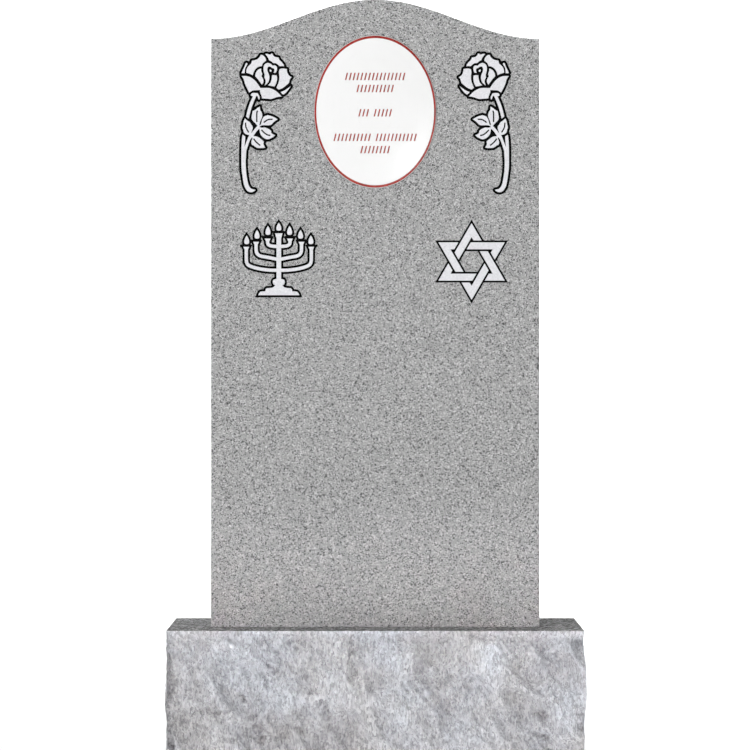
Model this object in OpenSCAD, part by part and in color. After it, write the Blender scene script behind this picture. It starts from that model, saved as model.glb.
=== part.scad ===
// Upright serpentine-top headstone: a granite tablet with carved roses, a
// seven-branched menorah and an interlaced star, an oval ceramic cameo let into
// its face, and the rock-pitched granite base that it stands on.
// Frame: origin at the middle of the base's underside, +Z up, the carved face
// looks along -Y. Millimetres.

/* [Tablet] */
// Width of the tablet
tablet_w = 559; // [465:1:680]
// Height of the tablet at the crown of its top
tablet_h = 1067; // [880:1:1300]
// Thickness of the tablet
tablet_t = 102; // [75:1:125]
// How far the crown rises over the shoulders
serp_rise = 66.5; // [30:0.5:90]

/* [Base] */
// Length of the base's sawn top
base_w = 700; // [580:1:900]
// Depth of the base's sawn top, front to back
base_d = 281; // [230:1:400]
// Height of the base
base_h = 203; // [150:1:300]
// How far the pitched ends stand proud of the sawn top
end_bulge = 3.5; // [2:0.5:10]
// How far the pitched front and back stand proud of the sawn top
face_bulge = 12; // [5:0.5:20]
// Width of one chisel chip in the pitched faces
chip_w = 62; // [40:1:90]

/* [Cameo] */
// Width of the ceramic oval
cameo_w = 208; // [150:1:250]
// Height of the ceramic oval
cameo_h = 260; // [190:1:315]
// Thickness of the ceramic at its edge
cameo_edge = 4.5; // [3:0.5:8]
// How much the middle of the oval swells over its edge
cameo_crown = 2.5; // [1:0.5:5]
// Depth of the seat cut for the oval
seat_depth = 3; // [1.5:0.5:6]
// Gap round the oval in its seat
seat_gap = 0.5; // [0.3:0.1:1.5]
// Distance from the crown of the tablet to the middle of the oval
cameo_drop = 191; // [155:1:260]

/* [Carving] */
// Depth of the sandblasted outlines
groove_depth = 2.6; // [1:0.1:5]
// Depth of the frosted panels below the face
field_depth = 0.4; // [0.2:0.1:0.8]
// Width of the outlines round the roses
groove_w = 4.1; // [2:0.1:5]
// Width of the outlines round the menorah
menorah_groove_w = 3.7; // [2:0.1:4.6]
// Width of the outlines round the star
star_groove_w = 3.2; // [1.5:0.1:4]
// Width of the veins in the leaves
vein_w = 2.3; // [1:0.1:2.8]
// Height of each rose, from the stem's foot to the highest petal
rose_h = 235.6; // [190:0.1:285]
// Distance of each rose's calyx from its side panel's middle line
rose_shift = 13.7; // [5:0.1:20]
// Distance from the shoulders down to the calyx of each rose
rose_drop = 93; // [75:0.5:130]
// Height of the menorah, from its foot to the tallest flame
menorah_h = 126; // [100:1:155]
// Distance from the roses' feet down to the tops of the menorah and the star
symbol_gap = 42.5; // [30:0.5:70]
// Distance from the tablet's sides to the middle of the menorah and the star
symbol_inset = 115.5; // [90:0.5:140]
// Distance from the star's middle to the outer edge of each of its bars
star_edge = 32.6; // [25:0.1:41]
// Width of the star's interlaced bars
star_band = 11.9; // [8:0.1:14.5]

/* [Hidden] */

granite = [0.655, 0.655, 0.66];
pitched_granite = [0.73, 0.73, 0.75];
ceramic = [0.97, 0.97, 0.96];

rose_drawn_h = 235.6;
rose_drawn_foot = 168;
menorah_drawn_h = 126;
top_steps = 72;
oval_steps = 96;
over = 1;

shoulder_z = tablet_h - serp_rise;
cameo_z = tablet_h - cameo_drop;
rose_x = (tablet_w + cameo_w) / 4 + rose_shift;
rose_z = shoulder_z - rose_drop;
rose_foot_z = rose_z - rose_drawn_foot * rose_h / rose_drawn_h - groove_w;
symbol_x = tablet_w / 2 - symbol_inset;
menorah_z = rose_foot_z - symbol_gap - menorah_h - 1.5 * menorah_groove_w;
star_z = rose_foot_z - symbol_gap - 2 * (star_edge + star_groove_w);

// ---------------------------------------------------------------- curves

// A point on the Catmull-Rom curve from b to c.
function along(a, b, c, d, t) = 0.5 * (2 * b + (c - a) * t + (2 * a - 5 * b + 4 * c - d) * t * t
    + (3 * b - a - 3 * c + d) * t * t * t);

// One smooth run through its points, without its last point.
function run(p, steps) = [
    for (i = [0 : len(p) - 2])
        let (a = p[max(i - 1, 0)], d = p[min(i + 2, len(p) - 1)])
            for (s = [0 : steps - 1]) along(a, p[i], p[i + 1], d, s / steps)
];

// A closed outline of smooth runs that meet in corners. Each run starts where
// the one before it ends.
function outline(runs, steps = 2) = [
    for (i = [0 : len(runs) - 1])
        let (before = runs[(i + len(runs) - 1) % len(runs)])
            each run(concat([before[len(before) - 1]], runs[i]), steps)
];

// A band of constant width along a smooth run.
function ribbon(points, width, steps = 2) = let (
    line = concat(run(points, steps), [points[len(points) - 1]]),
    last = len(line) - 1,
    side = [
        for (i = [0 : last])
            let (d = line[min(i + 1, last)] - line[max(i - 1, 0)]) [-d.y, d.x] / norm(d) * width / 2
    ]
) concat([for (i = [0 : last]) line[i] + side[i]], [for (i = [last : -1 : 0]) line[i] - side[i]]);

function oval(w, h) = [
    for (i = [0 : oval_steps - 1]) let (a = 360 * i / oval_steps) [w / 2 * cos(a), h / 2 * sin(a)]
];

// A repeatable scatter between 0 and 1.
function scatter(i, j) = let (s = sin(i * 127.1 + j * 311.7) * 43758.5) s - floor(s);

// A solid skinned over closed rings of equally many points, from the bottom up,
// with a fan over each end.
module skin(rings) {
    n = len(rings[0]);
    top = len(rings) - 1;
    floor_z = rings[0][0].z;
    roof_z = rings[top][0].z;
    polyhedron(
        points = concat([for (ring = rings) each ring], [[0, 0, floor_z], [0, 0, roof_z]]),
        faces = concat(
            [for (i = [0 : n - 1]) [i, (i + 1) % n, n * (top + 1)]],
            [
                for (j = [0 : top - 1]) for (i = [0 : n - 1])
                    let (a = j * n + i, b = j * n + (i + 1) % n)
                        each scatter(i, j) > 0.5 ? [[a, a + n, b + n], [a, b + n, b]]
                            : [[a, a + n, b], [b, a + n, b + n]]
            ],
            [for (i = [0 : n - 1]) [top * n + (i + 1) % n, top * n + i, n * (top + 1) + 1]]
        )
    );
}

// ---------------------------------------------------------------- rose

// Each field is a frosted panel of the flower, drawn about the calyx.
back_left_petal = [
    [[-13.5, 40], [-11.5, 44.5], [-8.5, 48], [-5.5, 50.5], [-4.3, 55.5]],
    [[0, 56.2], [5, 58], [9, 61.8], [10.3, 65]],
    [[13.5, 65.2], [17.5, 61.8], [19.5, 58], [19.8, 55.3]],
    [[16.5, 53], [14, 50.3], [12.6, 46]],
    [[7, 45.2], [1.6, 41], [-1.5, 35.5], [-2.8, 30.6]],
    [[-7.5, 33], [-13.8, 34.8]]
];
back_right_petal = [
    [[20.5, 67.3], [24.5, 66.3], [27.4, 66], [28.8, 67.6], [30.5, 67.3]],
    [[32.7, 63.5], [36, 61.6], [40.8, 60.9]],
    [[42.5, 56.8], [46, 53.5], [49.4, 49.2], [50.3, 45.8]],
    [[47.3, 46.4], [44, 46], [42, 46.6]],
    [[39.5, 49.2], [36.2, 51.1], [31.8, 51.4]],
    [[28.5, 54.5], [24.7, 56.4]],
    [[23.4, 60], [21, 63.6], [18.5, 66.5]]
];
side_petal = [
    [[-15.3, 50], [-16.6, 46], [-19.1, 41], [-22, 34.5]],
    [[-19.5, 34], [-16.6, 34.3]],
    [[-16.2, 40.5], [-14.9, 44.6], [-12, 49.2], [-12.3, 51.2], [-13.8, 51.8]]
];
inner_petal = [
    [[6.6, 40.3], [2.8, 35.6], [1.4, 31], [1.7, 28.3]],
    [[5.9, 23.9], [9.8, 18.6], [12.7, 14.6]],
    [[14.8, 17.4], [15.4, 21], [14.6, 24.5], [12.1, 29]],
    [[13.3, 33.2], [11.6, 37.6], [11.4, 42.2]]
];
curled_petal = [
    [[19.2, 18.9], [18.8, 23], [16.8, 27.2]],
    [[17.4, 31.5], [15.7, 37.6], [15.5, 44.5], [17.4, 49.2], [22.3, 51.7], [27.5, 50.2], [30.9, 47]],
    [[35, 47.4], [38.2, 44.8], [38.2, 39.5], [36.8, 35.2]],
    [[34.5, 34.7], [32.6, 34.9]],
    [[34, 38.5], [33.2, 42], [30.2, 42.9]],
    [[27.6, 45], [24.2, 45.4], [21.9, 42], [22.6, 36.7], [24.9, 31.5], [25.5, 25.8], [23.4, 18.4], [17.4, 13.2]]
];
heart_petal = [[[26.6, 40.8], [28.2, 39.6], [29.4, 38.6], [28.8, 37], [27.2, 36.5], [26, 37.8], [26, 39.6]]];
bud_petal = [
    [[33.5, 31], [37.8, 30.3]],
    [[38.5, 26], [37.9, 20.3], [36.4, 15.5], [34.1, 11.5]],
    [[28.7, 12.4], [23.2, 13.6]],
    [[27.3, 18.1], [29.3, 24.5], [30, 30.7]]
];
right_petal = [
    [[44.5, 41.7], [49.5, 42.2], [55.2, 41.3]],
    [[55.5, 37.2], [57.2, 32.4], [59.8, 29.4], [63.4, 27.3]],
    [[60.6, 24.3], [58.8, 17.6]],
    [[53.7, 13.1], [47.5, 8.6], [41.4, 6.3]],
    [[39.4, 7.6], [37.5, 9.7]],
    [[40.5, 16.5], [42.4, 24], [42.3, 30.5], [41.6, 35.5], [42.6, 40.5]]
];
tucked_petal = [
    [[57.3, 8.9], [51, 4.6], [44.7, 2.2]],
    [[46.8, -0.6], [49.2, -2.3]],
    [[53.7, 1], [58.7, 7.4], [61.8, 12.2]]
];
front_petals = [
    [[-14, 29.4], [-6.5, 27.2], [0, 22.6], [5.3, 16.4], [10.2, 9]],
    [[18, 9.1], [26, 8.8], [34.4, 5.3], [40.5, 0.6], [46.2, -5.6]],
    [[40.5, -6], [34.5, -7.8], [28.7, -9.7], [21, -9.2], [12.9, -8.8]],
    [[12.3, -4.8], [9.6, 1.8], [9.6, 5.6]],
    [[2.3, 5.1], [-2.6, 4.8], [-5.6, 3.2], [-9, 1.2]],
    [[-12.7, 8.9], [-16.2, 16.5], [-18, 23.4], [-21.8, 29.3]]
];
calyx = [
    [[-4.5, -0.1], [0, 0.6], [5.6, 0.1]],
    [[8.2, -4.3], [9.1, -8], [7.7, -11]],
    [[6.4, -8.6], [5.4, -5.2], [3.6, -4]],
    [[1, -9.5], [-3.2, -20], [-6.4, -30], [-9.6, -43]],
    [[-12, -41.5], [-14.2, -39.4]],
    [[-12, -30], [-9, -20], [-4.8, -10], [-2.4, -5]],
    [[-4, -5], [-6.3, -3.4]]
];
leaf_up = [
    [[4.5, -25.3], [0.8, -28.6]],
    [[-3, -30.3]],
    [[-4, -36], [-4.9, -41.8], [-3.2, -46.4], [1.5, -51], [5.3, -55.6]],
    [[6.6, -58.2]],
    [[8.2, -56]],
    [[9.2, -50.5], [11, -45.3], [13.2, -40], [13.2, -35], [11.7, -31]],
    [[9.8, -28.5], [9.3, -22.6]]
];
leaf_upper_right = [
    [[18.3, -38.6], [22.6, -37.2]],
    [[29, -38.8], [35, -41.5], [39.6, -44.4]],
    [[34.5, -47.6], [30.6, -51.5]],
    [[28.6, -53.4], [24.5, -54.6], [16, -54.3], [11, -55.2], [8.6, -57.4]],
    [[7, -58.4]],
    [[8.2, -55]],
    [[11, -52.5], [13, -45], [15.8, -40]]
];
leaf_lower_right = [
    [[12.5, -58.6], [18, -58.2], [22.8, -60]],
    [[25.8, -61.6], [28.6, -64.4]],
    [[28.5, -67]],
    [[31, -69.4], [35.3, -71.3]],
    [[31.5, -74.8], [26.5, -77.2]],
    [[22.6, -78.4], [17.2, -76.8], [12, -72.4], [9.5, -67.6], [8.6, -61], [7, -57]]
];
leaf_down = [
    [[2.5, -73.2], [7.5, -75], [11.8, -78.4]],
    [[14.7, -80.6], [16.1, -82.8]],
    [[15.3, -85]],
    [[16, -88.3], [18.5, -92.4]],
    [[14.5, -93.2], [9, -93.2], [4.5, -92.9]],
    [[0.6, -90.6]],
    [[-1.8, -88.4]],
    [[-4, -87.9], [-5.4, -84], [-4.6, -79.8], [-3.2, -77], [-4.5, -73]]
];
leaf_left = [
    [[-17, -44.8], [-18.4, -48.4], [-19, -52.6]],
    [[-20.1, -56.4], [-20, -60]],
    [[-18.9, -62]],
    [[-18.4, -65.4], [-15.6, -69], [-10.6, -70.8], [-6, -71]],
    [[-5.5, -67.5], [-3.4, -61.5], [-2.8, -57.6], [-4, -54.8]],
    [[-5.4, -53.4]],
    [[-7, -50.2], [-9, -48.2]],
    [[-12.5, -46.2], [-16, -42.8]]
];
leaf_stalk = [
    [[6, -55.2], [0.7, -60.3], [-5.2, -67.6], [-9.3, -72], [-12.6, -80], [-16.2, -89.6]],
    [[-16.2, -98]],
    [[-13.9, -98]],
    [[-10.3, -87.3], [-7.4, -79.4], [-4.4, -75.4], [-1.4, -72.2], [3.3, -65.3], [8.4, -60.2]]
];
stem = [
    [[-21, -74.7], [-22, -90], [-22.2, -110], [-22, -127], [-20.4, -140], [-18, -155], [-14, -164],
        [-9, -167.9], [-3, -168], [1.6, -165]],
    [[0.6, -163.8], [-4.8, -162.6], [-9, -158], [-11.6, -150], [-14.2, -133], [-14.9, -115],
        [-13.9, -98], [-16.8, -89.6]],
    [[-16, -80.5], [-15.6, -73.4]],
    [[-18, -71.9], [-19.9, -70.2]]
];
rose_fields = [
    back_left_petal, back_right_petal, side_petal, inner_petal, curled_petal, heart_petal, bud_petal,
    right_petal, tucked_petal, front_petals, calyx, leaf_up, leaf_upper_right, leaf_lower_right,
    leaf_down, leaf_left, leaf_stalk, stem
];
leaf_veins = [
    [[4.1, -49], [4, -40], [4.2, -32.5], [5.4, -29.6]],
    [[15.9, -49.9], [20, -46.6], [24.5, -44.5], [31, -44.3]],
    [[12, -62.2], [16.5, -67], [21.5, -70.5], [27, -71.9]],
    [[-1.4, -77.2], [3, -83], [10, -88.8]],
    [[-15.2, -50], [-14.6, -57], [-12.4, -62], [-9.6, -66.6]]
];

module rose() {
    scale(rose_h / rose_drawn_h) difference() {
        for (field = rose_fields) polygon(outline(field));
        for (vein = leaf_veins) polygon(ribbon(vein, vein_w));
    }
}

// ---------------------------------------------------------------- menorah

// Right half of the foot, the knop and the shaft, from the bottom up.
menorah_half = [
    [[35, 2.6]],
    [[33.6, 5.8], [31.2, 8.6]],
    [[27, 9.2], [22.8, 9.2]],
    [[22.4, 12.4], [20.4, 14.6]],
    [[14, 15], [9.4, 16.2], [6, 19.6]],
    [[9, 21], [10.3, 25.2], [8.8, 29], [4, 30.4]],
    [[4, 99]],
    [[6.4, 108]],
    [[0, 108]],
    [[0, 2.6]]
];

// Each branch: its middle line from the shaft to the socket.
branches = [
    [[0, 85.3], [10, 86], [15, 87], [18.3, 89.5], [19, 93], [19, 99]],
    [[0, 63.4], [5, 64.2], [20, 67.2], [30, 69], [35.4, 71.7], [38, 76], [38.6, 82], [38.6, 93.5]],
    [[0, 45], [15, 45.2], [30, 47], [40, 49.2], [48, 51.8], [52.8, 54.8], [54.8, 59], [55.3, 66],
        [55.3, 85]]
];
branch_w = 5.6;
socket_w = 10;
socket_h = 5;

// Each drip pan: its left end, its right end, its underside and its top.
pans = [[10.5, 28, 99, 103.6], [30, 46, 93.5, 97.4], [47.5, 66, 85, 88.4]];

// Each flame: its middle, its foot and its tip.
flames = [[18.4, 105.3, 120.6], [37, 99, 113.8], [54.6, 89.6, 104.2]];

function flame(x, foot, tip) = let (h = tip - foot) outline([
    [[x + 2.4, foot + 0.74 * h], [x + 4.2, foot + 0.36 * h], [x + 3.7, foot + 0.08 * h], [x + 1.6, foot],
        [x - 1.6, foot], [x - 3.7, foot + 0.08 * h], [x - 4.2, foot + 0.36 * h], [x - 2.4, foot + 0.74 * h],
        [x, tip]]
]);

module menorah() {
    scale(menorah_h / menorah_drawn_h) {
        polygon(flame(0, 112.6, 126));
        for (side = [0, 1]) mirror([side, 0]) {
            polygon(outline(menorah_half));
            for (line = branches) {
                end = line[len(line) - 1];
                polygon(ribbon(line, branch_w));
                polygon([
                    end + [-branch_w / 2, -socket_h], end + [branch_w / 2, -socket_h],
                    end + [socket_w / 2, 0], end - [socket_w / 2, 0]
                ]);
            }
            for (f = flames) polygon(flame(f[0], f[1], f[2]));
        }
    }
}

module drip_pans() {
    scale(menorah_h / menorah_drawn_h) {
        translate([-9.5, 108]) square([19, 4.2]);
        for (side = [0, 1]) mirror([side, 0]) for (p = pans)
            translate([p[0], p[2]]) square([p[1] - p[0], p[3] - p[2]]);
    }
}

// ---------------------------------------------------------------- star

// One of the star's six equal pieces: a tip whose left limb runs on over the
// next bar and whose right limb stops short of it.
module star() {
    a = star_edge;
    b = star_edge - star_band;
    g = star_groove_w;
    c = cos(30);
    for (turn = [0 : 60 : 300]) rotate(turn) polygon([
        [0, 2 * a], [(a - g) / 2 / c, a + g], [(b - (a + g) / 2) / c, a + g], [0, 2 * b],
        [-(2 * b - g) / 2 / c, g], [-(a + b - g) / 2 / c, a - b + g]
    ]);
}

// ---------------------------------------------------------------- pieces

// Puts a drawing on the carved face: x along it, y up it, z out of it.
module on_face(x = 0, z = 0) {
    translate([x, -tablet_t / 2, base_h + z]) rotate([90, 0, 0]) children();
}

// The cut for one ornament: the first child is its whole outline, the second
// the panels that are left standing inside it.
module carve() {
    difference() {
        translate([0, 0, -groove_depth]) linear_extrude(groove_depth + over) children(0);
        translate([0, 0, -groove_depth - over]) linear_extrude(groove_depth + over - field_depth)
            offset(delta = 0) children(1);
    }
}

module carve_rose() {
    carve() {
        offset(delta = -2.5) offset(r = groove_w + 2.5, $fn = 16) rose();
        rose();
    }
}

module tablet_outline() {
    half = tablet_w / 2;
    polygon(concat(
        [[-half, 0], [half, 0]],
        [
            for (i = [0 : top_steps])
                let (x = half - tablet_w * i / top_steps)
                    [x, shoulder_z + serp_rise * (1 + cos(180 * x / half)) / 2]
        ]
    ));
}

module tablet() {
    color(granite) difference() {
        on_face() translate([0, 0, -tablet_t]) linear_extrude(tablet_t) tablet_outline();
        on_face(0, cameo_z) translate([0, 0, -seat_depth])
            linear_extrude(seat_depth + over) polygon(oval(cameo_w + 2 * seat_gap, cameo_h + 2 * seat_gap));
        on_face(-rose_x, rose_z) carve_rose();
        on_face(rose_x, rose_z) mirror([1, 0, 0]) carve_rose();
        on_face(-symbol_x, menorah_z) carve() {
            offset(delta = -0.6) offset(delta = 0.6) union() {
                offset(delta = menorah_groove_w) menorah();
                drip_pans();
            }
            menorah();
        }
        on_face(symbol_x, star_z) carve() {
            offset(delta = -1) offset(delta = star_groove_w + 1) star();
            star();
        }
    }
}

// Rock pitch: each grid point of the sides stands proud by its own amount, down
// from the sawn arris to the bed. The back is the front turned half round, and
// so are the ends.
module base() {
    half_w = base_w / 2;
    half_d = base_d / 2;
    nx = round(2 * base_w / chip_w);
    ny = round(2 * base_d / chip_w);
    rows = max(3, round(2 * base_h / chip_w));
    margin = 3;
    function swell(j) = j >= rows ? 0 : pow(sin(180 * max(j, 1) / rows), 0.6);
    function proud(i, j) = swell(j) * (0.35 + 0.65 * scatter(i, j));
    function nudge(i, j, n) = i == 0 || i == n ? 0 : (scatter(i + 40, j) - 0.5) * 0.5;
    function level(i, j) = j <= 0 ? margin : j >= rows ? base_h - margin
        : base_h * (j + (scatter(i + 80, j) - 0.5) * 0.4) / rows;
    function front(i, j) = [
        -half_w + base_w * (i + nudge(i, j, nx)) / nx + (i == 0 ? -end_bulge * proud(i, j) : 0),
        -half_d - face_bulge * proud(i, j),
        level(i, j)
    ];
    function end(i, j) = [
        half_w + end_bulge * proud(nx + i, j),
        -half_d + base_d * (i + nudge(nx + i, j, nx)) / ny + (i == 0 ? -face_bulge * proud(nx, j) : 0),
        level(nx + i, j)
    ];
    function half_ring(j) = concat(
        [for (i = [0 : nx - 1]) front(i, j)],
        [for (i = [0 : ny - 1]) end(i, j)]
    );
    function ring(j) = concat(half_ring(j), [for (p = half_ring(j)) [-p.x, -p.y, p.z]]);
    function at(ring, z) = [for (p = ring) [p.x, p.y, z]];
    color(pitched_granite) intersection() {
        skin(concat([at(ring(0), -over * 5)], [for (j = [0 : rows]) ring(j)], [at(ring(rows), base_h + over * 5)]));
        translate([-base_w, -base_d, 0]) cube([2 * base_w, 2 * base_d, base_h]);
    }
}

module cameo() {
    ease = 1;
    shrink = 1 - 2 * ease / cameo_w;
    rings = [
        [1, -over], [1, cameo_edge - ease],
        for (r = [1, 0.86, 0.7, 0.52, 0.32, 0.12]) [r * shrink, cameo_edge + cameo_crown * (1 - r * r)]
    ];
    color(ceramic) on_face(0, cameo_z) translate([0, 0, -seat_depth]) intersection() {
        skin([for (r = rings) [for (p = oval(cameo_w, cameo_h)) [p.x * r[0], p.y * r[0], r[1]]]]);
        translate([-cameo_w, -cameo_h, 0]) cube([2 * cameo_w, 2 * cameo_h, cameo_edge + cameo_crown + over]);
    }
}

tablet();
base();
cameo();
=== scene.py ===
import bmesh
import bpy
import math
from mathutils import Matrix, Vector, noise


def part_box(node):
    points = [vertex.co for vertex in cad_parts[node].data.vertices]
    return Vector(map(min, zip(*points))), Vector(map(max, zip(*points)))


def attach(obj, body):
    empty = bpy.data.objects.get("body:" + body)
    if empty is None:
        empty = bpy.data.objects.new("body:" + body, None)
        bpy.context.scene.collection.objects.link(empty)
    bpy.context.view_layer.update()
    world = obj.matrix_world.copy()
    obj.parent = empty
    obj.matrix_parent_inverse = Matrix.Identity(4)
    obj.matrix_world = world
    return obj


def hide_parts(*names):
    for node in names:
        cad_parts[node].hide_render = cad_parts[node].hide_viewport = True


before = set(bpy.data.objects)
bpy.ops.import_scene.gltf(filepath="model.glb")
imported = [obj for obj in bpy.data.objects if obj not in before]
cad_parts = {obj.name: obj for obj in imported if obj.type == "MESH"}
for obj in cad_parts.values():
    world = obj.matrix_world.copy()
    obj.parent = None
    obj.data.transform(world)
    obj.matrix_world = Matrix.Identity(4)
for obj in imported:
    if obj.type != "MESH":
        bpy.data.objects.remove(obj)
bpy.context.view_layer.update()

# --- Studio -----------------------------------------------------------------
# A seamless pale sweep that runs from the floor up behind the stone, one long
# lens at the height of the tablet's middle, and soft light from large panels.

def linear(code):
    """An sRGB hex colour as linear red, green, blue and alpha."""
    parts = [int(code[i:i + 2], 16) / 255 for i in (1, 3, 5)]
    return [p / 12.92 if p <= 0.04045 else ((p + 0.055) / 1.055) ** 2.4 for p in parts] + [1.0]


def add(tree, kind, inputs=(), **settings):
    """Adds a node, sets it, and fills its inputs with values or with other nodes' outputs."""
    new = tree.nodes.new(kind)
    for name, value in settings.items():
        setattr(new, name, value)
    for socket, value in dict(inputs).items():
        if isinstance(value, bpy.types.NodeSocket):
            tree.links.new(value, new.inputs[socket])
        else:
            new.inputs[socket].default_value = value
    return new


def blank_material(name, **shader):
    """A new material and its tree and shader, with the shader's plain values set."""
    material = bpy.data.materials.new(name)
    material.use_nodes = True
    tree = material.node_tree
    surface = tree.nodes["Principled BSDF"]
    for socket, value in shader.items():
        surface.inputs[socket.replace("_", " ")].default_value = value
    return material, tree, surface


def new_piece(name, bm, materials):
    """Turns a finished bmesh into an object of the scene."""
    mesh = bpy.data.meshes.new(name)
    bm.to_mesh(mesh)
    bm.free()
    piece = bpy.data.objects.new(name, mesh)
    bpy.context.scene.collection.objects.link(piece)
    for material in materials:
        mesh.materials.append(material)
    return piece


# Matt paper that glows though it is no lamp, and glows most where the stone's
# shadow falls: a painted glow that paints that shadow out, so it stays white there too.
SHADOW_MIDDLE, SHADOW_REACH, SHADOW_END = (0.62, 0.42, 0.0), 0.6, 0.85
sweep_paper_and_painted_glow, tree, surface = blank_material("sweep_painted_glow", Roughness=0.95, Specular_IOR_Level=0.0)
surface.inputs["Base Color"].default_value = linear("#F6F6F6")
surface.inputs["Emission Color"].default_value = (1, 1, 1, 1)
place = add(tree, "ShaderNodeTexCoord").outputs["Object"]
away = add(tree, "ShaderNodeVectorMath", {0: place, 1: SHADOW_MIDDLE}, operation="DISTANCE")
glow = add(tree, "ShaderNodeMapRange",
           {"Value": away.outputs["Value"], "From Min": SHADOW_REACH, "From Max": SHADOW_END,
            "To Min": 0.64, "To Max": 0.33})
tree.links.new(glow.outputs[0], surface.inputs["Emission Strength"])

HALF_WIDTH, REAR, CURVE, WALL, RUN_OUT = 30, 9, 3, 9, 21
bm = bmesh.new()
bmesh.ops.create_grid(bm, x_segments=1, y_segments=1, size=1.0)
bmesh.ops.scale(bm, vec=(HALF_WIDTH, REAR, 1), verts=bm.verts)
bmesh.ops.translate(bm, vec=(0, -RUN_OUT, 0), verts=[v for v in bm.verts if v.co.y < 0])
rear = [e for e in bm.edges if all(v.co.y > 0 for v in e.verts)]
bmesh.ops.spin(bm, geom=rear, cent=(0, REAR, CURVE), axis=(1, 0, 0), dvec=(0, 0, 0),
               angle=math.radians(90), steps=24)
lip = [e for e in bm.edges if all(v.co.z > CURVE - 0.001 for v in e.verts)]
wall = bmesh.ops.extrude_edge_only(bm, edges=lip)
raised = [g for g in wall["geom"] if isinstance(g, bmesh.types.BMVert)]
bmesh.ops.translate(bm, vec=(0, 0, WALL), verts=raised)
for face in bm.faces:
    face.smooth = True
sweep = new_piece("sweep", bm, [sweep_paper_and_painted_glow])

# The room gives the stone little light; seen past the sweep it is a pale wall.
world = bpy.data.worlds.new("studio")
bpy.context.scene.world = world
world.use_nodes = True
room = world.node_tree
room_light = room.nodes["Background"]
room_light.inputs["Color"].default_value = (1, 1, 1, 1)
room_light.inputs["Strength"].default_value = 0.08
pale_wall = add(room, "ShaderNodeBackground", {"Color": linear("#F0F0F0"), "Strength": 1.0})
seen = add(room, "ShaderNodeLightPath")
walls = add(room, "ShaderNodeMixShader",
            {0: seen.outputs["Is Camera Ray"], 1: room_light.outputs[0], 2: pale_wall.outputs[0]})
room.links.new(walls.outputs[0], room.nodes["World Output"].inputs["Surface"])


def light_panel(name, place, target, width, height, power, spread=180):
    """A soft rectangular light that faces a target; a grid on it narrows its spread."""
    data = bpy.data.lights.new(name, "AREA")
    data.shape = "RECTANGLE"
    data.size = width
    data.size_y = height
    data.energy = power
    data.spread = math.radians(spread)
    panel = bpy.data.objects.new(name, data)
    panel.location = place
    panel.rotation_euler = (Vector(target) - Vector(place)).to_track_quat("-Z", "Y").to_euler()
    bpy.context.scene.collection.objects.link(panel)


light_panel("key_panel", (-6.4, -4.4, 6.2), (0, 0, 0.4), 2.0, 2.0, 440)
light_panel("fill_panel", (1.8, -7.0, 0.6), (0, 0, 0.4), 2.5, 1.0, 110)
light_panel("gridded_low_panel", (1.4, -7.2, 0.25), (0, 0, 0.19), 2.0, 0.1, 0.5, spread=4)
light_panel("overhead_panel", (0.4, -1.6, 7.5), (0, 0, 0.2), 2.2, 2.2, 60)
light_panel("backdrop_panel", (0, 5.5, 8.0), (0, 13, 2.5), 6.0, 2.0, 1500)

EYE = (-0.0003, -5.4425, 0.6312)
lens = bpy.data.cameras.new("long_lens")
lens.sensor_width = 36.0
lens.lens = 152.13
lens.clip_end = 60.0
viewpoint = bpy.data.objects.new("viewpoint", lens)
viewpoint.location = EYE
viewpoint.rotation_euler = (math.radians(90), 0, 0)
bpy.context.scene.collection.objects.link(viewpoint)
bpy.context.scene.camera = viewpoint
bpy.context.scene.view_settings.view_transform = "Standard"

# --- Tablet -----------------------------------------------------------------
# One slab of medium-grained grey granite with a steeled face. The roses, menorah
# and star are sandblasted outlines painted black round panels blasted to a pale
# frost. The arrises are eased by hand with a stone.

MM = 0.001
ARRIS = 1.6 * MM
GRAIN = 1.65 * MM
CLOUD = 55.556 * MM
PITS = 1.1111 * MM


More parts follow.
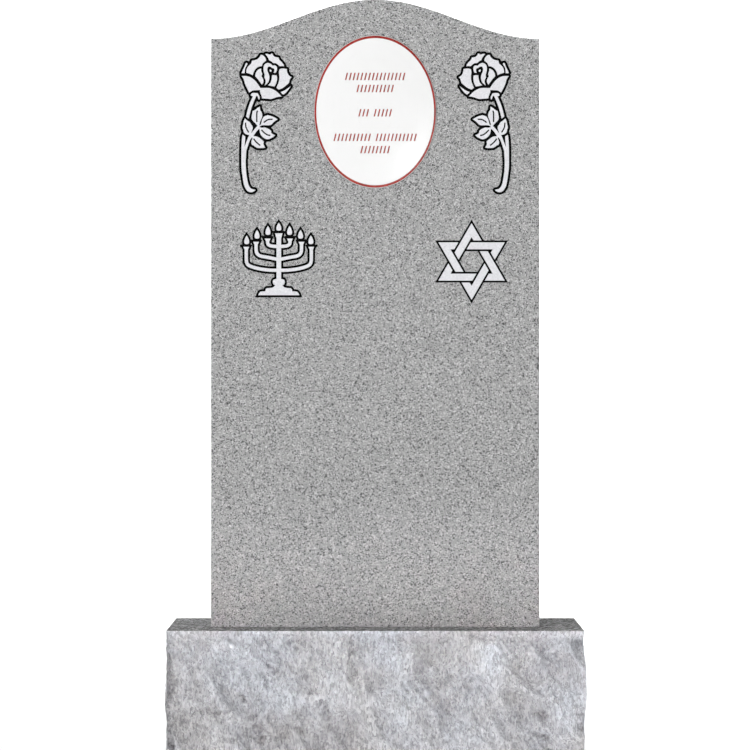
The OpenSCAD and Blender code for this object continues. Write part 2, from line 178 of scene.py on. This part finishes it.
def granite(name, mica, quartz, feldspar, bump=0.0, grain=GRAIN, cloud=0.03, **shader):
    """Granite cut flat: dark mica, grey quartz and pale feldspar crystals, faintly clouded and pitted."""
    material, tree, surface = blank_material(name, **shader)
    place = add(tree, "ShaderNodeTexCoord").outputs["Object"]
    wander = add(tree, "ShaderNodeTexNoise", {"Vector": place, "Scale": 0.5 / grain, "Detail": 2.0})
    bent = add(tree, "ShaderNodeVectorMath",
               {0: wander.outputs["Color"], 1: (-0.5, -0.5, -0.5)}, operation="ADD")
    bent = add(tree, "ShaderNodeVectorMath",
               {0: bent.outputs[0], "Scale": grain * 1.4}, operation="SCALE")
    bent = add(tree, "ShaderNodeVectorMath", {0: place, 1: bent.outputs[0]}, operation="ADD")
    crystals = add(tree, "ShaderNodeTexVoronoi", {"Vector": bent.outputs[0], "Scale": 1 / grain})
    pick = add(tree, "ShaderNodeSeparateColor", {"Color": crystals.outputs["Color"]})
    minerals = add(tree, "ShaderNodeValToRGB", {"Fac": pick.outputs["Red"]})
    ramp = minerals.color_ramp
    ramp.elements[0].position, ramp.elements[0].color = 0.0, linear(mica)
    ramp.elements[1].position, ramp.elements[1].color = 1.0, linear(feldspar)
    ramp.elements.new(0.09).color = linear(mica)
    ramp.elements.new(0.24).color = linear(quartz)
    ramp.elements.new(0.66).color = linear(quartz)
    clouds = add(tree, "ShaderNodeTexNoise", {"Vector": place, "Scale": 1 / CLOUD, "Detail": 3.0})
    cloud_shade = add(tree, "ShaderNodeMapRange",
                      {"Value": clouds.outputs["Fac"], "From Min": 0.3, "From Max": 0.7,
                       "To Min": 1 - cloud / 4, "To Max": 1 + cloud / 4})
    shaded = add(tree, "ShaderNodeVectorMath",
                 {0: minerals.outputs["Color"], "Scale": cloud_shade.outputs[0]}, operation="SCALE")
    tree.links.new(shaded.outputs[0], surface.inputs["Base Color"])
    if bump:
        pits = add(tree, "ShaderNodeTexNoise", {"Vector": place, "Scale": 1 / PITS, "Detail": 2.0})
        relief = add(tree, "ShaderNodeBump",
                     {"Height": pits.outputs["Fac"], "Strength": 1.0, "Distance": bump})
        tree.links.new(relief.outputs["Normal"], surface.inputs["Normal"])
    return material


# Steeled granite is ground with steel grit: an even salt-and-pepper grey with
# hardly any sheen. Its sides are left a little rougher.
steeled_face = granite("steeled_granite_face", "#525252", "#A7A7A7", "#DCDCDC", bump=0.05 * MM,
                       Roughness=0.55, Specular_IOR_Level=0.25)
sawn_side = granite("steeled_granite_sides", "#525252", "#A2A2A2", "#D6D6D6", bump=0.1 * MM,
                    Roughness=0.65, Specular_IOR_Level=0.25)

# Stone paint sinks into the blasted cut and dries matt and nearly black.
BRUSHED = 1.4286 * MM
outline_black, tree, surface = blank_material("stone_paint_black", Roughness=0.8, Specular_IOR_Level=0.1)
place = add(tree, "ShaderNodeTexCoord").outputs["Object"]
fleck = add(tree, "ShaderNodeTexNoise", {"Vector": place, "Scale": 1 / BRUSHED, "Detail": 2.0})
tint = add(tree, "ShaderNodeValToRGB", {"Fac": fleck.outputs["Fac"]})
tint.color_ramp.elements[0].color = linear("#020202")
tint.color_ramp.elements[1].color = linear("#0A0A0A")
tree.links.new(tint.outputs["Color"], surface.inputs["Base Color"])

# Blasting bruises every crystal, so that the panels turn an even, dry, frosty
# near-white in which the grain hardly shows.
frosted_panel = granite("blasted_frost_panels", "#DEDEE2", "#E8E8EC", "#F2F2F6", bump=0.12 * MM,
                        cloud=0.04, Roughness=0.9, Specular_IOR_Level=0.15)

cad_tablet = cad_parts["tablet"]
low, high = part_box("tablet")
face_y, back_y = low[1], high[1]
bm = bmesh.new()
bm.from_mesh(cad_tablet.data)
bmesh.ops.remove_doubles(bm, verts=bm.verts, dist=1e-6)
bmesh.ops.dissolve_limit(bm, angle_limit=math.radians(0.05), verts=bm.verts, edges=bm.edges)


FACE, SIDE, GROOVE, PANEL = range(4)


def cut_of(face):
    """Which cut of the stone a face belongs to, from how deep it lies and which way it looks."""
    middle = face.calc_center_median()
    if middle.y > face_y + 2.9 * MM:
        return SIDE
    if face.normal.y < -0.9:
        if middle.y < face_y + 0.1 * MM:
            return FACE
        return PANEL if middle.y < face_y + 1.0 * MM else GROOVE
    return GROOVE if abs(face.normal.y) < 0.5 else SIDE


for face in bm.faces:
    face.material_index = cut_of(face)

# The arrises are the edges between the sides and the face or the back, and the
# two that run from front to back at the shoulders. The edges of the carving and
# those on the bed stay sharp.
TINY = 1e-5
CORNER = math.radians(40)
joined = [e for e in bm.edges if len(e.link_faces) == 2]
outer = [e for e in joined
         if sum(f.material_index == SIDE and abs(f.normal.y) < 0.5 for f in e.link_faces) == 1]
outer += [e for e in joined if all(f.material_index == SIDE for f in e.link_faces)
          and e.calc_face_angle() > CORNER and e not in outer]
outer = [e for e in outer if max(v.co.z for v in e.verts) > low[2] + TINY]
outer = [e for e in outer if max(v.co.y for v in e.verts) < face_y + TINY
         or min(v.co.y for v in e.verts) > back_y - TINY
         or abs(e.verts[0].co.y - e.verts[1].co.y) > (back_y - face_y) / 2]
bmesh.ops.bevel(bm, geom=outer, offset=ARRIS, offset_type="OFFSET", segments=3, profile=0.5,
                affect="EDGES", material=-1)
tablet = new_piece("tablet_stone", bm, [steeled_face, sawn_side, outline_black, frosted_panel])
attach(tablet, "root")
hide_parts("tablet")

# --- Base -------------------------------------------------------------------
# A block of paler granite with a sawn top. Its four sides are rock-pitched: a
# mason has struck flakes off them with a pitching tool, from the arrises inward.

ROCK, SAWN = 0, 1
cad_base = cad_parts["base"]
b_low, b_high = (Vector(v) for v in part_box("base"))
bm = bmesh.new()
bm.from_mesh(cad_base.data)
hollow_shade = bm.verts.layers.float.new("bite")
bmesh.ops.remove_doubles(bm, verts=bm.verts, dist=1e-6)
for face in bm.faces:
    face.material_index = ROCK if abs(face.normal.z) < 0.9 else SAWN
flanks = [e for e in bm.edges if any(f.material_index == ROCK for f in e.link_faces)]
bmesh.ops.subdivide_edges(bm, edges=flanks, cuts=11, use_grid_fill=True)
bm.normal_update()

# The lip under the top arris stays as the saw left it, and all below it is rock.
LIP = 3.05 * MM
FADE = 14 * MM
bed_z = b_low.z + 1e-6
loose = [v for v in bm.verts if bed_z < v.co.z < b_high.z - LIP]
bed = [v for v in bm.verts if v.co.z < bed_z and any(f.material_index == ROCK for f in v.link_faces)]
for _ in range(5):
    bmesh.ops.smooth_vert(bm, verts=loose, factor=0.5, use_axis_x=True, use_axis_y=True, use_axis_z=True)
bm.normal_update()


def flake(p, size):
    """The bowl that one struck flake leaves: deep in its middle, sharp at its rim, near 0 on average."""
    near = noise.voronoi(p / size, distance_metric="DISTANCE", exponent=2.5)[0]
    return near[0] ** 2 - 0.38


# Flakes of three sizes, as depth and width, and small chips where the tool
# skidded, on the front: place across and up, half-width and half-height.
flakes = [(42, 82), (24, 38), (9, 16)]
chips = [(-272, 68, 24, 14), (-285, 37, 12, 13), (-196, 44, 20, 13), (-131, 37, 16, 8), (-83, 74, 11, 18),
         (-108, 102, 14, 9), (-187, 16, 13, 9), (-173, 139, 16, 9), (-39, 171, 10, 8), (281, 63, 17, 7),
         (276, 26, 15, 6), (-347, 14, 16, 9), (-240, 20, 11, 7), (-222, 90, 9, 7)]
CHIP_DEPTH = 7 * MM
CHIP_FALL = 0.3
FALL, STRETCH = math.radians(52), 1.7

# A set seed gives the same stone each time. The blows fall on a slant, so the
# flakes are longer that way, and none reaches past the block that was sawn.
noise.seed_set(21)
for v in loose + bed:
    across = v.co.x * math.sin(FALL) + v.co.z * math.cos(FALL)
    down = (v.co.z * math.sin(FALL) - v.co.x * math.cos(FALL)) / STRETCH
    lean = Vector((across, v.co.y, down))
    warp = lean + 20 * MM * noise.noise_vector(lean / (44 * MM))
    bite = sum(deep * MM * flake(warp, wide * MM) for deep, wide in flakes)
    bite += 3.0 * MM * noise.fractal(v.co / (11 * MM), 0.8, 2.1, 5)
    chipped = 0.0
    if v.normal.y < -0.5:
        ragged = Vector(noise.noise_vector(v.co / (12 * MM))).to_2d()
        ragged += 0.35 * Vector(noise.noise_vector(v.co / (4 * MM))).to_2d()
        for x, z, wide, tall in chips:
            off_x, off_z = v.co.x - x * MM, v.co.z - z * MM
            off = Vector((off_x / wide, (off_z + CHIP_FALL * off_x) / tall)) / MM + ragged
            chipped = max(chipped, min(1.0, 1.3 * (1 - off.length)))
    hold = min(1.0, (b_high.z - LIP - v.co.z) / FADE)
    out = Vector((v.normal.x, v.normal.y, 0)).normalized() if v.co.z < bed_z else v.normal
    move = Vector((out.x * 0.15, out.y, out.z * 0.25))
    v.co += move * (bite - CHIP_DEPTH * chipped) * hold
    # The layer holds painted shade: the deeper the hollow, and the stronger the chip, the darker the rock
    # is painted.
    v[hollow_shade] = min(1.0, max(0.0, 0.3 - bite * hold / (90 * MM)) + 0.35 * chipped)
for v in bm.verts:
    for axis in range(3):
        v.co[axis] = min(max(v.co[axis], b_low[axis]), b_high[axis])
bm.normal_update()

# Sawn and honed, the same stone shows its crystals whole, coarse and dull; its dark
# tone is partly the honed stone's own and partly painted shade that darkens the top.
sawn_top_painted_shade = granite("honed_granite_top_painted_shade", "#1A1A1A", "#747474", "#CCCCCC", bump=0.03 * MM, grain=3.8 * MM,
                   Roughness=0.7, Specular_IOR_Level=0.02)

# Pitched granite is bruised pale in small upright flecks, with a blue cast where
# feldspar is split; its hollows and chips are painted a darker, warmer grey as shade.
FLECK_WIDE, FLECK_TALL, FLECK_LEAN = 1.9 * MM, 7.0 * MM, 0.14
SWAY = 3.8462 * MM
DRIFT = 111.11 * MM
GRIT = 3.3333 * MM
pitched_rock, tree, surface = blank_material("pitched_granite", Roughness=0.9, Specular_IOR_Level=0.15)
place = add(tree, "ShaderNodeTexCoord").outputs["Object"]
sway = add(tree, "ShaderNodeTexNoise", {"Vector": place, "Scale": 1 / SWAY, "Detail": 2.0})
sway = add(tree, "ShaderNodeVectorMath", {0: sway.outputs["Color"], "Scale": 5 * MM}, operation="SCALE")
bent = add(tree, "ShaderNodeVectorMath", {0: place, 1: sway.outputs[0]}, operation="ADD")
upright = add(tree, "ShaderNodeMapping",
              {"Vector": bent.outputs[0], "Rotation": (0.0, FLECK_LEAN, 0.0),
               "Scale": (1 / FLECK_WIDE, 1 / FLECK_WIDE, 1 / FLECK_TALL)})
flecks = add(tree, "ShaderNodeTexVoronoi", {"Vector": upright.outputs["Vector"], "Scale": 1.0})
pick = add(tree, "ShaderNodeSeparateColor", {"Color": flecks.outputs["Color"]})
streak_tone = add(tree, "ShaderNodeValToRGB", {"Fac": pick.outputs["Red"]})
ramp = streak_tone.color_ramp
ramp.elements[0].position, ramp.elements[0].color = 0.0, linear("#B0B0B2")
ramp.elements[1].position, ramp.elements[1].color = 1.0, linear("#FBFBFC")
ramp.elements.new(0.5).color = linear("#DBDBDD")

# Slow drifts of blue feldspar, strongest about three spots near the top.
drifts = add(tree, "ShaderNodeTexNoise",
             {"Vector": place, "Scale": 1 / DRIFT, "Detail": 5.0, "Roughness": 0.65})
blue = drifts.outputs["Fac"]
blue_spots = [((-0.225, -0.15, 0.17), 0.11), ((0.325, -0.15, 0.15), 0.08), ((0.02, -0.15, 0.19), 0.05)]
for spot, reach in blue_spots:
    away = add(tree, "ShaderNodeVectorMath", {0: place, 1: spot}, operation="DISTANCE")
    near = add(tree, "ShaderNodeMapRange", {"Value": away.outputs["Value"], "From Min": reach * 0.3,
                                            "From Max": reach * 1.3, "To Min": 0.17, "To Max": 0.0})
    blue = add(tree, "ShaderNodeMath", {0: blue, 1: near.outputs[0]}, operation="ADD").outputs[0]
drift_tone = add(tree, "ShaderNodeValToRGB", {"Fac": blue})
ramp = drift_tone.color_ramp
ramp.elements[0].position, ramp.elements[0].color = 0.36, linear("#E7E6E5")
ramp.elements[1].position, ramp.elements[1].color = 0.68, linear("#EFF2F7")
ramp.elements.new(0.52).color = linear("#ECECEE")
tinted = add(tree, "ShaderNodeVectorMath",
             {0: streak_tone.outputs["Color"], 1: drift_tone.outputs["Color"]}, operation="MULTIPLY")
# Painted shade: the colour turns a darker, warmer grey in the hollows and chips.
depth = add(tree, "ShaderNodeAttribute", attribute_name="bite")
hollows = add(tree, "ShaderNodeValToRGB", {"Fac": depth.outputs["Fac"]})
ramp = hollows.color_ramp
ramp.elements[0].position, ramp.elements[0].color = 0.15, linear("#FFFFFF")
ramp.elements[1].position, ramp.elements[1].color = 0.95, linear("#C9C5C3")
ramp.elements.new(0.55).color = linear("#E9E8E8")
toned = add(tree, "ShaderNodeVectorMath",
            {0: tinted.outputs[0], 1: hollows.outputs["Color"]}, operation="MULTIPLY")
tree.links.new(toned.outputs[0], surface.inputs["Base Color"])
grit = add(tree, "ShaderNodeTexNoise", {"Vector": place, "Scale": 1 / GRIT, "Detail": 4.0})
relief = add(tree, "ShaderNodeBump", {"Height": grit.outputs["Fac"], "Strength": 1.0, "Distance": 0.9 * MM})
tree.links.new(relief.outputs["Normal"], surface.inputs["Normal"])

base = new_piece("base_stone", bm, [pitched_rock, sawn_top_painted_shade])
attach(base, "root")
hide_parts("base")

# --- Cameo ------------------------------------------------------------------
# An oval of white porcelain under clear glaze, gently domed, with a thin red
# line fired round its rim and rows of red strokes where an inscription goes.

# Clear glaze over white porcelain: a clean bright white with a soft broad gloss.
# The mottle is the slight pooling of the glaze.
POOL = 40 * MM
cameo_glaze, tree, surface = blank_material("white_glazed_porcelain", Roughness=0.25, Coat_Weight=0.3,
                                            Coat_Roughness=0.1, Specular_IOR_Level=0.3)
place = add(tree, "ShaderNodeTexCoord").outputs["Object"]
mottle = add(tree, "ShaderNodeTexNoise", {"Vector": place, "Scale": 1 / POOL, "Detail": 3.0})
tint = add(tree, "ShaderNodeValToRGB", {"Fac": mottle.outputs["Fac"]})
tint.color_ramp.elements[0].color = linear("#FBFBFA")
tint.color_ramp.elements[1].color = linear("#FFFFFF")
tree.links.new(tint.outputs["Color"], surface.inputs["Base Color"])

BRUSH = 4.1667 * MM


def enamel(name, thin, thick):
    """Ceramic colour fired onto the glaze, a little uneven where the brush left it thin."""
    material, tree, surface = blank_material(name, Roughness=0.35, Specular_IOR_Level=0.3)
    place = add(tree, "ShaderNodeTexCoord").outputs["Object"]
    brush = add(tree, "ShaderNodeTexNoise", {"Vector": place, "Scale": 1 / BRUSH, "Detail": 2.0})
    tone = add(tree, "ShaderNodeValToRGB", {"Fac": brush.outputs["Fac"]})
    tone.color_ramp.elements[0].position, tone.color_ramp.elements[0].color = 0.35, linear(thin)
    tone.color_ramp.elements[1].position, tone.color_ramp.elements[1].color = 0.65, linear(thick)
    tree.links.new(tone.outputs["Color"], surface.inputs["Base Color"])
    return material


rim_enamel = enamel("red_rim_enamel", "#B23A31", "#8E2B28")
stroke_enamel = enamel("red_stroke_enamel", "#B0483E", "#93352C")

c_low, c_high = (Vector(v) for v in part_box("cameo"))
c_mid = (c_low + c_high) / 2
half_w, half_h = (c_high.x - c_low.x) / 2, (c_high.z - c_low.z) / 2
CROWN = 2.2 * MM
RIM_LINE = 3.9 * MM
edge_y = c_low.y + 2.5 * MM


def glaze_y(x, z):
    """How far forward the glaze stands at a place on the oval."""
    out = ((x - c_mid.x) / half_w) ** 2 + ((z - c_mid.z) / half_h) ** 2
    return edge_y - CROWN * max(0.0, 1 - out)


bm = bmesh.new()
bmesh.ops.create_circle(bm, cap_ends=True, cap_tris=False, segments=160, radius=1.0)
bmesh.ops.scale(bm, vec=(half_w, half_h, 1), verts=bm.verts)
bmesh.ops.rotate(bm, matrix=Matrix.Rotation(math.radians(90), 3, "X"), verts=bm.verts)
bmesh.ops.translate(bm, vec=(c_mid.x, c_high.y, c_mid.z), verts=bm.verts)
front = bm.faces[:]

# Each ring is drawn in from the rim by so many millimetres and lies on the glaze;
# the first ones stand back from it, and so round the rim.
rings = [(0.0, 0.6), (0.2, 0.2), (0.6, 0.0), (RIM_LINE / MM, 0.0)]
rings += [(inset, 0.0) for inset in (10, 20, 32, 46, 60, 74, 86, 96)]
for inset, stands_back in rings:
    grown = bmesh.ops.extrude_face_region(bm, geom=front)["geom"]
    front = [g for g in grown if isinstance(g, bmesh.types.BMFace)]
    ring = [g for g in grown if isinstance(g, bmesh.types.BMVert)]
    for v in ring:
        a = math.atan2((v.co.z - c_mid.z) / half_h, (v.co.x - c_mid.x) / half_w)
        share = 1 - inset * MM / half_w
        v.co.x = c_mid.x + half_w * share * math.cos(a)
        v.co.z = c_mid.z + half_h * share * math.sin(a)
        v.co.y = glaze_y(v.co.x, v.co.z) + stands_back * MM
    if inset == RIM_LINE / MM:
        for face in {f for v in ring for f in v.link_faces} - set(front):
            face.material_index = 1
bmesh.ops.recalc_face_normals(bm, faces=bm.faces)
for face in bm.faces:
    face.smooth = abs(face.normal.y) > 0.2 and face.calc_center_median().y < c_high.y - 1e-5
cameo = new_piece("cameo_oval", bm, [cameo_glaze, rim_enamel])
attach(cameo, "root")
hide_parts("cameo")

# The strokes are enamel fired onto the glaze, slanted and all alike, in five
# centred rows, of which two have a gap: height above the middle, strokes, gap.
STROKE_H, STROKE_W, SLANT, PITCH = 12.5 * MM, 2.3 * MM, 0.24, 6.5 * MM
PROUD, SUNK = 0.12 * MM, 0.25 * MM
rows = [(59.8, 16, None), (39.3, 10, None), (-2.0, 9, 3), (-43.7, 22, 10), (-64.6, 8, None)]
bm = bmesh.new()
for rise, count, gap_at in rows:
    for i in range(count):
        if i == gap_at:
            continue
        x = c_mid.x + (i - (count - 1) / 2) * PITCH
        z = c_mid.z + rise * MM
        made = bmesh.ops.create_cube(bm, size=1.0)["verts"]
        bmesh.ops.scale(bm, vec=(STROKE_W, 1, STROKE_H), verts=made)
        bmesh.ops.translate(bm, vec=(x, 0, z), verts=made)
        for v in made:
            v.co.x += SLANT * (v.co.z - z)
            v.co.y = glaze_y(v.co.x, v.co.z) + (SUNK if v.co.y > 0 else -PROUD)
strokes = new_piece("cameo_strokes", bm, [stroke_enamel])
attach(strokes, "root")
